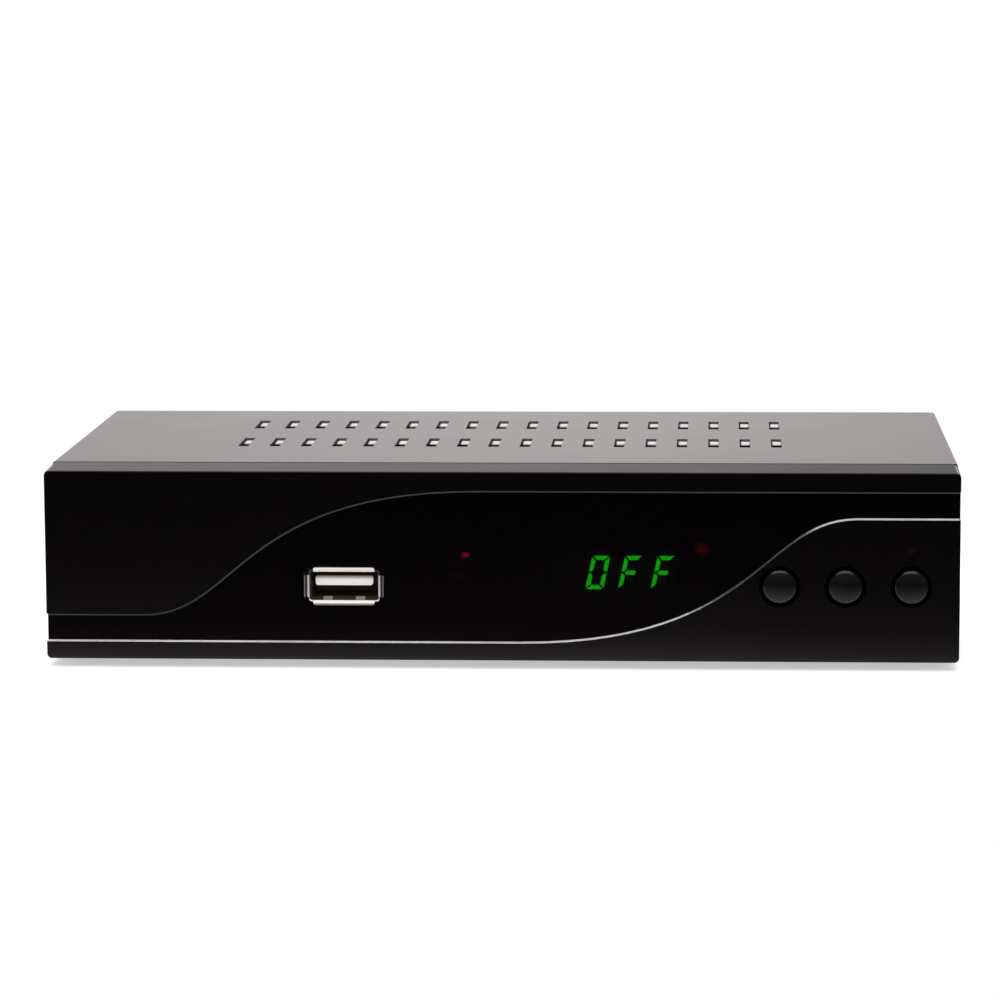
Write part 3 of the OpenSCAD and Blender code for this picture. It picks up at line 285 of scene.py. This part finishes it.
def lip_shade(t, where, colour_out, bsdf):
    """The lower lip turns from the light along its front edge."""
    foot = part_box("usb_shell")[0].z
    start, end, dark = foot + 0.28 * MM, foot + 0.40 * MM, (0.30, 0.25, 0.20)
    return t.blend(t.span(t.axes(where)["Z"], 1, 0, start, end), colour_out, dark)


def slot_shade(t, where, colour_out, bsdf):
    """The dust strips lie in the shade of each slot's left edge."""
    start, end, dark = 0.2 * MM, 0.5 * MM, (0.012, 0.011, 0.011)
    across = t.math("FLOORED_MODULO", t.math("SUBTRACT", t.axes(where)["X"], VENT_LEFT), VENT_PITCH)
    return t.blend(t.span(across, 1, 0, start, end), colour_out, dark)


def board_traces(t, where, colour_out, bsdf):
    """Copper lines and pads show through the board's lacquer."""
    line_cover, line_colour = 0.6, (0.012, 0.065, 0.026)
    pad_r, pad_edge, pad_colour = 0.14, 0.18, (0.20, 0.185, 0.14)
    lines = t.add("ShaderNodeTexBrick", Vector=where, Scale=160.0, Mortar_Size=0.06)
    for key, colour in (("Color1", (0, 0, 0, 1)), ("Color2", (0, 0, 0, 1)), ("Mortar", (1, 1, 1, 1))):
        lines.inputs[key].default_value = colour
    pads = t.add("ShaderNodeTexVoronoi", Vector=where, Scale=420.0).outputs["Distance"]
    traced = t.blend(t.math("MULTIPLY", lines.outputs["Color"], line_cover), colour_out, line_colour)
    return t.blend(t.span(pads, 1, 0, pad_r, pad_edge), traced, pad_colour)


# Materials
def make_materials():
    """All materials: those of the record's material slots, and those of painted details, among them painted
    light and shade.
    """
    looks = {
        # Front panel and window
        "bezel_black": dict(colour=(0.0015, 0.0011, 0.0012), rough=0.14, ior=1.40, mottle=0.2, rough_var=0.02,
                            bump=0.02, bump_grain=1200, tint=(0.96, 0.82, 0.87)),
        "window_smoke": dict(colour=(0.0012, 0.0006, 0.0008), rough=0.06, level=0.25, alpha=0.65,
                             tint=(1, 0.75, 0.8)),
        "window_edge": dict(colour=(0.0012, 0.0006, 0.0008), rough=0.12, level=0.25),
        "trim_dark": dict(colour=(0.05, 0.05, 0.05), rough=0.35, level=0.3),
        "trim_bright": dict(colour=(0.33, 0.328, 0.325), rough=0.28, metal=1.0),
        "button_black": dict(colour=(0.0018, 0.0018, 0.0019), rough=0.13, ior=1.6, bump=0.03,
                             bump_grain=5000),
        # Matte near-black painted shade for the walls of the button wells and the caps' sides
        "well_painted_shade": dict(colour=(0.002, 0.002, 0.002), rough=0.9, level=0.05),
        # Display, remote eye and lamps
        "display_black": dict(colour=(0.004, 0.004, 0.004), rough=0.5, extra=digit_halo),
        "segment_lit": dict(colour=(0.02, 0.35, 0.03), rough=0.4, extra=glow((0.005, 1.0, 0.007), 2.3)),
        "segment_off": dict(colour=(0.006, 0.0065, 0.006), rough=0.5),
        # The remote eye's glints are painted highlights, made as glowing spots.
        "eye_dark": dict(colour=(0.012, 0.003, 0.004), rough=0.2, extra=painted_eye_glints),
        "lamp_red": dict(colour=(0.008, 0.0016, 0.0022), rough=0.3, extra=lamp_glow),
        "lamp_dim": dict(colour=(0.012, 0.005, 0.006), rough=0.35, extra=glow((1, 0.42, 0.46), 0.0055)),
        # Case
        "cover_black": dict(colour=(0.008, 0.0068, 0.0068), rough=0.17, ior=1.48, rough_var=0.005, bump=0.02,
                            bump_grain=900),
        "vent_wall": dict(colour=(0.085, 0.081, 0.081), rough=0.6, level=0.2),
        "filter_pale": dict(colour=(0.72, 0.71, 0.69), rough=0.85, bump=0.4, bump_grain=3500,
                            extra=slot_shade),
        "chassis_black": dict(colour=(0.012, 0.012, 0.0125), rough=0.35, bump=0.08, bump_grain=2200),
        "foot_rubber": dict(colour=(0.012, 0.012, 0.012), rough=0.75, bump=0.3, bump_grain=3000),
        "black_screw": dict(colour=(0.035, 0.035, 0.037), rough=0.35, metal=0.8),
        # Boards and what is on them
        "circuit_board": dict(colour=(0.006, 0.034, 0.014), rough=0.4, extra=board_traces),
        "board_edge": dict(colour=(0.006, 0.007, 0.005), rough=0.8, level=0.1),
        "zinc_screw": dict(colour=(0.6, 0.6, 0.58), rough=0.3, metal=1.0),
        "post_brass": dict(colour=(0.62, 0.45, 0.16), rough=0.3, metal=1.0),
        "plunger_black": dict(colour=(0.01, 0.01, 0.01), rough=0.45),
        "switch_steel": dict(colour=(0.5, 0.5, 0.5), rough=0.35, metal=1.0),
        "chip_black": dict(colour=(0.02, 0.02, 0.02), rough=0.6),
        "sink_aluminium": dict(colour=(0.6, 0.6, 0.61), rough=0.4, metal=1.0),
        "can_steel": dict(colour=(0.62, 0.62, 0.62), rough=0.3, metal=1.0),
        "coil_grey": dict(colour=(0.06, 0.06, 0.06), rough=0.6),
        "capacitor_sleeve": dict(colour=(0.02, 0.02, 0.03), rough=0.3),
        # Sockets at the rear
        "socket_steel": dict(colour=(0.72, 0.71, 0.69), rough=0.2, metal=1.0),
        "insulator_white": dict(colour=(0.78, 0.77, 0.74), rough=0.4),
        "contact_gold": dict(colour=(0.75, 0.55, 0.22), rough=0.22, metal=1.0),
        "housing_black": dict(colour=(0.012, 0.012, 0.012), rough=0.4),
        "phono_yellow": dict(colour=(0.72, 0.50, 0.02), rough=0.4),
        "phono_white": dict(colour=(0.75, 0.75, 0.72), rough=0.4),
        "phono_red": dict(colour=(0.55, 0.02, 0.015), rough=0.4),
        # Socket in front; apart from the tongue's white, these are painted light and shade on the socket
        "usb_lip_painted_highlight": dict(colour=(0.98, 0.96, 0.93), rough=0.35, metal=0.1, mottle=0.02, extra=lip_shade),
        "usb_ear_painted_light_and_shade": dict(colour=(0.05, 0.045, 0.04), rough=0.3, metal=0.6, extra=painted_ear_highlights),
        "usb_inside_painted_shade": dict(colour=(0.13, 0.092, 0.05), rough=0.5, level=0.3),
        "usb_tab_painted_highlight": dict(colour=(0.31, 0.265, 0.22), rough=0.45, metal=0.4),
        "usb_rim_painted_shade": dict(colour=(0.07, 0.058, 0.048), rough=0.5, metal=0.3),
        "usb_white": dict(colour=(0.97, 0.96, 0.93), rough=0.4, mottle=0.02, extra=tongue_shade),
    }
    return {name: surface(name, **look) for name, look in looks.items()}


def dress_nodes(mats):
    """Every CAD node keeps its shape and takes the finish of its slot in the record."""
    for entry in frame["record"]["subparts"]:
        data = nodes[entry["node"]].data
        data.materials.clear()
        data.materials.append(mats[entry["material_slot"]])


def paint(node, mats, pick):
    """Faces of a node take further finishes or painted light and shade, by the name that pick gives for a
    face's centre and normal.
    """
    data = nodes[node].data
    used = [m.name for m in data.materials]
    for poly in data.polygons:
        name = pick(poly.center, poly.normal)
        if not name:
            continue
        if name not in used:
            used.append(name)
            data.materials.append(mats[name])
        poly.material_index = used.index(name)


def paint_details(mats):
    """Painted shade in the button wells, and finishes of cut edges and the lamp in the front panel."""
    cover_low, cover_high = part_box("top_cover")
    fold, sheet, well_r = 4 * MM, 1 * MM, 3.9 * MM
    # Parts of a face's normal along an axis
    across_axis, sideways = 0.5, 0.7
    lamp_low, lamp_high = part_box("indicator_leds")
    caps = [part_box(body + "_button") for body in BUTTONS]
    axes = [((low.x + high.x) / 2, (low.z + high.z) / 2) for low, high in caps]

    # Faces round a button's axis that face sideways take painted shade.
    def well(c, n):
        near = any(math.hypot(c.x - x, c.z - z) < well_r for x, z in axes)
        return "well_painted_shade" if near and abs(n.y) < across_axis else None

    def window_edge(c, n):
        return "window_edge" if abs(n.x) > sideways and abs(c.x) > cover_high.x - fold else None

    def lamp_dim(c, n):
        return "lamp_dim" if c.x > (lamp_low.x + lamp_high.x) / 2 else None

    def vent_wall(c, n):
        between_sides = cover_low.x + fold < c.x < cover_high.x - fold
        between_ends = cover_low.y + fold < c.y < cover_high.y - fold
        in_roof = between_sides and between_ends and c.z > cover_high.z - sheet
        return "vent_wall" if in_roof and abs(n.z) < across_axis else None

    def board_edge(c, n):
        return "board_edge" if abs(n.z) < across_axis else None

    paint("front_bezel", mats, well)
    paint("display_window", mats, window_edge)
    paint("indicator_leds", mats, lamp_dim)
    paint("top_cover", mats, vent_wall)
    paint("main_board", mats, board_edge)


def paint_socket(mats):
    """Painted highlights and shade on the front socket's lips, spring tabs and inside, and the finish of its
    tongue.
    """
    low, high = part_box("usb_shell")
    mid = (low + high) / 2
    half = (high - low) / 2
    flare, lip, bend, tongue = 0.75 * MM, 0.55 * MM, 0.4 * MM, 9 * MM
    throat, rim = 0.95 * flare, 0.9 * flare
    # Parts of a face's normal: towards the front, slanted, and just turned to the front
    frontal, slanted, turned_forward = 0.9, 0.3, 0.05

    # Faces of the one steel shell are painted lit or shaded by their place and facing.
    def shell(c, n):
        x, z, depth = abs(c.x - mid.x), abs(c.z - mid.z), c.y - low.y
        inside = depth > throat and x < half.x - flare and z < half.z - lip
        if inside and n.y < -slanted and n.z > slanted:
            return "usb_tab_painted_highlight"
        if n.y < -frontal and depth > rim and c.z > mid.z:
            return "usb_rim_painted_shade"
        if depth > flare + bend or n.y > -turned_forward:
            towards = n.x * (c.x - mid.x) + n.z * (c.z - mid.z)
            return "usb_inside_painted_shade" if inside and towards < 0 else None
        return "usb_lip_painted_highlight" if z > half.z - lip - bend else "usb_ear_painted_light_and_shade"

    # The insulator's rear block takes the inside's painted shade; the tongue keeps its white.
    def insulator(c, n):
        return "usb_inside_painted_shade" if c.y > low.y + tongue else "usb_white"

    paint("usb_shell", mats, shell)
    paint("usb_insulator", mats, insulator)


def soften(name, width):
    """Rounds the sharp edges of a node for its looks."""
    same_point, flat_angle, sharp_angle, steps = 0.001 * MM, math.radians(0.5), math.radians(35), 2
    piece = nodes[name]
    weld = piece.modifiers.new("weld", "WELD")
    weld.merge_threshold = same_point
    flat = piece.modifiers.new("flat", "DECIMATE")
    flat.decimate_type, flat.angle_limit = "DISSOLVE", flat_angle
    edge = piece.modifiers.new("edge", "BEVEL")
    edge.width, edge.segments = width, steps
    edge.limit_method, edge.angle_limit = "ANGLE", sharp_angle
    edge.harden_normals = True


# Pieces
def add_piece(name, points, faces, mat, slot, body="receiver"):
    data = bpy.data.meshes.new(name)
    data.from_pydata([Vector(p) for p in points], [], faces)
    data.update()
    data.materials.append(mat)
    piece = bpy.data.objects.new(name, data)
    scene.collection.objects.link(piece)
    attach(piece, body)
    return piece


def bars(outlines):
    """Points and faces of bars, each a (y, z) outline carried from one x to another."""
    points, faces = [], []
    for x0, x1, outline in outlines:
        base, n = len(points), len(outline)
        points += [(x, y, z) for x in (x0, x1) for y, z in outline]
        faces += [tuple(base + k for k in range(n)), tuple(base + n + k for k in reversed(range(n)))]
        faces += [(base + k, base + n + k, base + n + (k + 1) % n, base + (k + 1) % n) for k in range(n)]
    return points, faces


def turned(outline, mid_x, mid_z, count=72):
    """Points and faces of a form turned about an axis along Y.

    The outline holds (radius, y) pairs, and it starts and ends on the axis."""
    turns = [2 * math.pi * k / count for k in range(count)]
    points = [(mid_x, outline[0][1], mid_z)]
    for r, y in outline[1:-1]:
        points += [(mid_x + r * math.cos(a), y, mid_z + r * math.sin(a)) for a in turns]
    points.append((mid_x, outline[-1][1], mid_z))
    end = len(points) - 1
    last = end - count
    faces = []
    for k in range(count):
        n = (k + 1) % count
        faces += [(0, 1 + k, 1 + n), (end, last + n, last + k)]
        for base in range(1, last, count):
            faces.append((base + k, base + count + k, base + count + n, base + n))
    return points, faces


def arc(mid_r, mid_y, r, start, end, steps):
    """Points of an arc in (radius, y), by angle from the front of the axis."""
    turns = [start + (end - start) * k / steps for k in range(steps + 1)]
    return [(mid_r + r * math.sin(a), mid_y - r * math.cos(a)) for a in turns]


def add_button(body, mats):
    """A button on its CAD node's outline, with a smooth dome and rim."""
    low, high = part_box(body + "_button")
    r, rim, dome, boss = 3.07 * MM, 0.4 * MM, 9 * MM, 1.93 * MM
    boss_length, collar_thick, rim_depth = 0.6 * MM, 0.8 * MM, 0.1 * MM
    dome_steps, rim_steps, sharp = 14, 8, math.radians(30)
    collar, back = (high.x - low.x) / 2, high.y - boss_length
    front, middle = back - collar_thick, low.y + dome
    turn = math.asin((r - rim) / (dome - rim))
    rim_y = middle - (dome - rim) * math.cos(turn)
    outline = arc(0, middle, dome, 0, turn, dome_steps)
    outline += arc(r - rim, rim_y, rim, turn, math.pi / 2, rim_steps)[1:]
    outline += [(r, front), (collar, front), (collar, back), (boss, back), (boss, high.y), (0, high.y)]
    shape = turned(outline, (low.x + high.x) / 2, (low.z + high.z) / 2)
    cap = add_piece(body + "_cap", *shape, mats["button_black"], "button_black", body)
    # The cap's sides behind its rim take the wells' painted shade.
    cap.data.materials.append(mats["well_painted_shade"])
    for poly in cap.data.polygons:
        poly.use_smooth = True
        poly.material_index = int(poly.center.y > rim_y + rim_depth)
    cap.data.set_sharp_from_angle(angle=sharp)
    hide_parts(body + "_button")


def add_hdmi_contacts(mats):
    """Two rows of spring contacts on the tongue of the picture socket."""
    low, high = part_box("hdmi_tongue")
    mid_x, mid_z = (low.x + high.x) / 2, (low.z + high.z) / 2
    start, end, pitch, tongue = low.y + 3.2 * MM, high.y - 0.3 * MM, 1 * MM, 1.1 * MM
    half, thick, tip, nose = 0.22 * MM, 0.08 * MM, 0.02 * MM, 0.3 * MM
    outlines = []
    for count, z, up in ((10, mid_z + tongue, 1), (9, mid_z, -1)):
        face, end_face = z + up * thick, z + up * tip
        outline = [(start, z), (start, face), (end - nose, face), (end, end_face), (end, z)]
        for k in range(count):
            x = mid_x + (k - (count - 1) / 2) * pitch
            outlines.append((x - half, x + half, outline[::up]))
    add_piece("hdmi_contacts", *bars(outlines), mats["contact_gold"], "contact_gold")


# Studio
def distance_outside(t, place):
    """Distance on the floor from the object's outline, at least a millimetre."""
    low, high = cad_box
    mid_y, half_y = (low[1] + high[1]) / 2, (high[1] - low[1]) / 2
    away_x = t.math("SUBTRACT", t.math("ABSOLUTE", place["X"]), high[0])
    away_y = t.math("SUBTRACT", t.math("ABSOLUTE", t.math("SUBTRACT", place["Y"], mid_y)), half_y)
    return t.math("MAXIMUM", t.math("MAXIMUM", away_x, away_y), 1 * MM)


def bounced_rays(t, path):
    return t.math("MAXIMUM", path["Is Glossy Ray"], path["Is Transmission Ray"])


def floor_material():
    """White table that keeps the object's shadow."""
    grey, lifted, shadow_end, white_start = 0.8, 0.48, 0.03, 0.12
    mirror_near, mirror_least = 0.010, 0.045
    dimmed, dim_start, dim_end = 0.8, 0.02, 0.07
    mat = bpy.data.materials.new("floor_white")
    t = Tree(mat)
    out = t.add("ShaderNodeOutputMaterial")
    path = t.add("ShaderNodeLightPath").outputs
    plain = t.add("ShaderNodeBsdfDiffuse", Color=(grey, grey, grey, 1))
    place = t.axes(t.add("ShaderNodeTexCoord").outputs["Object"])
    away = distance_outside(t, place)
    # Seen directly, the floor keeps the shadow near the object and is white further out.
    white = t.add("ShaderNodeEmission", Strength=1.0)
    lift = t.add("ShaderNodeEmission", Strength=t.math("MULTIPLY", path["Is Camera Ray"], lifted))
    near = t.add("ShaderNodeAddShader")
    t.put(near, "0", plain.outputs[0])
    t.put(near, "1", lift.outputs[0])
    far = t.math("MULTIPLY", t.span(away, 0, 1, shadow_end, white_start), path["Is Camera Ray"])
    seen = t.mix(far, near, white)
    # In mirrored rays the white table fades away from the object into the room, and to the right.
    fade = t.math("MINIMUM", t.math("DIVIDE", mirror_near, away), 1.0)
    across = t.span(place["X"], 1, dimmed, dim_start, dim_end)
    strength = t.math("MULTIPLY", t.math("MAXIMUM", fade, mirror_least), across)
    mirrored = t.add("ShaderNodeEmission", Strength=strength)
    t.put(out, "Surface", t.mix(bounced_rays(t, path), seen, mirrored).outputs[0])
    return mat


def add_floor():
    half = 6
    corners = [(-half, -half, 0), (half, -half, 0), (half, half, 0), (-half, half, 0)]
    data = bpy.data.meshes.new("floor")
    data.from_pydata(corners, [], [(0, 1, 2, 3)])
    data.materials.append(floor_material())
    floor = bpy.data.objects.new("floor", data)
    scene.collection.objects.link(floor)


def add_world():
    """White to the camera, and an even room for the light on the object."""
    room_light, tint = 0.6, (1, 0.95, 0.945, 1)
    # Strengths of the mirrored room, and parts of a ray's direction between which they change
    above, above_start, above_end, lean_by = 0.24, 0.165, 0.2, 0.1
    beside, beside_start, beside_end, middle_x = 0.85, 0.03, 0.12, -0.04
    dim_low, dim_high, dim_end, behind_end = 0.075, 0.12, 0.25, 0.2
    world = bpy.data.worlds.new("studio")
    scene.world = world
    t = Tree(world)
    out = t.add("ShaderNodeOutputWorld")
    path = t.add("ShaderNodeLightPath").outputs
    ray = t.axes(t.add("ShaderNodeTexCoord").outputs["Generated"])
    # Mirrored rays see the white backdrop behind the object, and the dim room above and in front of it.
    lean = t.math("ADD", ray["Z"], t.math("MULTIPLY", ray["X"], lean_by))
    behind = t.span(ray["Y"], 0, 1, 0.0, behind_end)
    backdrop = t.math("MULTIPLY", behind, t.span(lean, 1, above, above_start, above_end))
    off_middle = t.math("ABSOLUTE", t.math("SUBTRACT", ray["X"], middle_x))
    sides = t.span(off_middle, 1, beside, beside_start, beside_end)
    dim = t.span(ray["Z"], dim_low, dim_high, 0.0, dim_end)
    strength = t.math("MAXIMUM", t.math("MULTIPLY", backdrop, sides), dim)
    mirrored = t.add("ShaderNodeBackground", Strength=strength, Color=tint)
    room = t.add("ShaderNodeBackground", Strength=room_light, Color=(1, 1, 1, 1))
    white = t.add("ShaderNodeBackground", Strength=1.0, Color=(1, 1, 1, 1))
    lit = t.mix(bounced_rays(t, path), room, mirrored)
    t.put(out, "Surface", t.mix(path["Is Camera Ray"], lit, white).outputs[0])


def add_lamp(name, power, size, place, target):
    data = bpy.data.lights.new(name, "AREA")
    data.energy, data.shape = power, "RECTANGLE"
    data.size, data.size_y = size
    lamp = bpy.data.objects.new(name, data)
    lamp.location = place
    lamp.rotation_euler = (Vector(target) - Vector(place)).to_track_quat("-Z", "Y").to_euler()
    scene.collection.objects.link(lamp)


add_camera()
mats = make_materials()
dress_nodes(mats)
paint_details(mats)
paint_socket(mats)
for name in ROUNDED_NODES:
    soften(name, EDGE_ROUNDING)
add_hdmi_contacts(mats)
for name in BUTTONS:
    add_button(name, mats)
add_floor()
add_world()
add_lamp("overhead", power=4.6, size=(0.9, 0.7), place=(0, 0.05, 0.85), target=(0, 0, 0))
add_lamp("front_fill", power=6.0, size=(1.5, 0.7), place=(-0.02, -1.26, 1.02), target=(0, 0, 0.02))
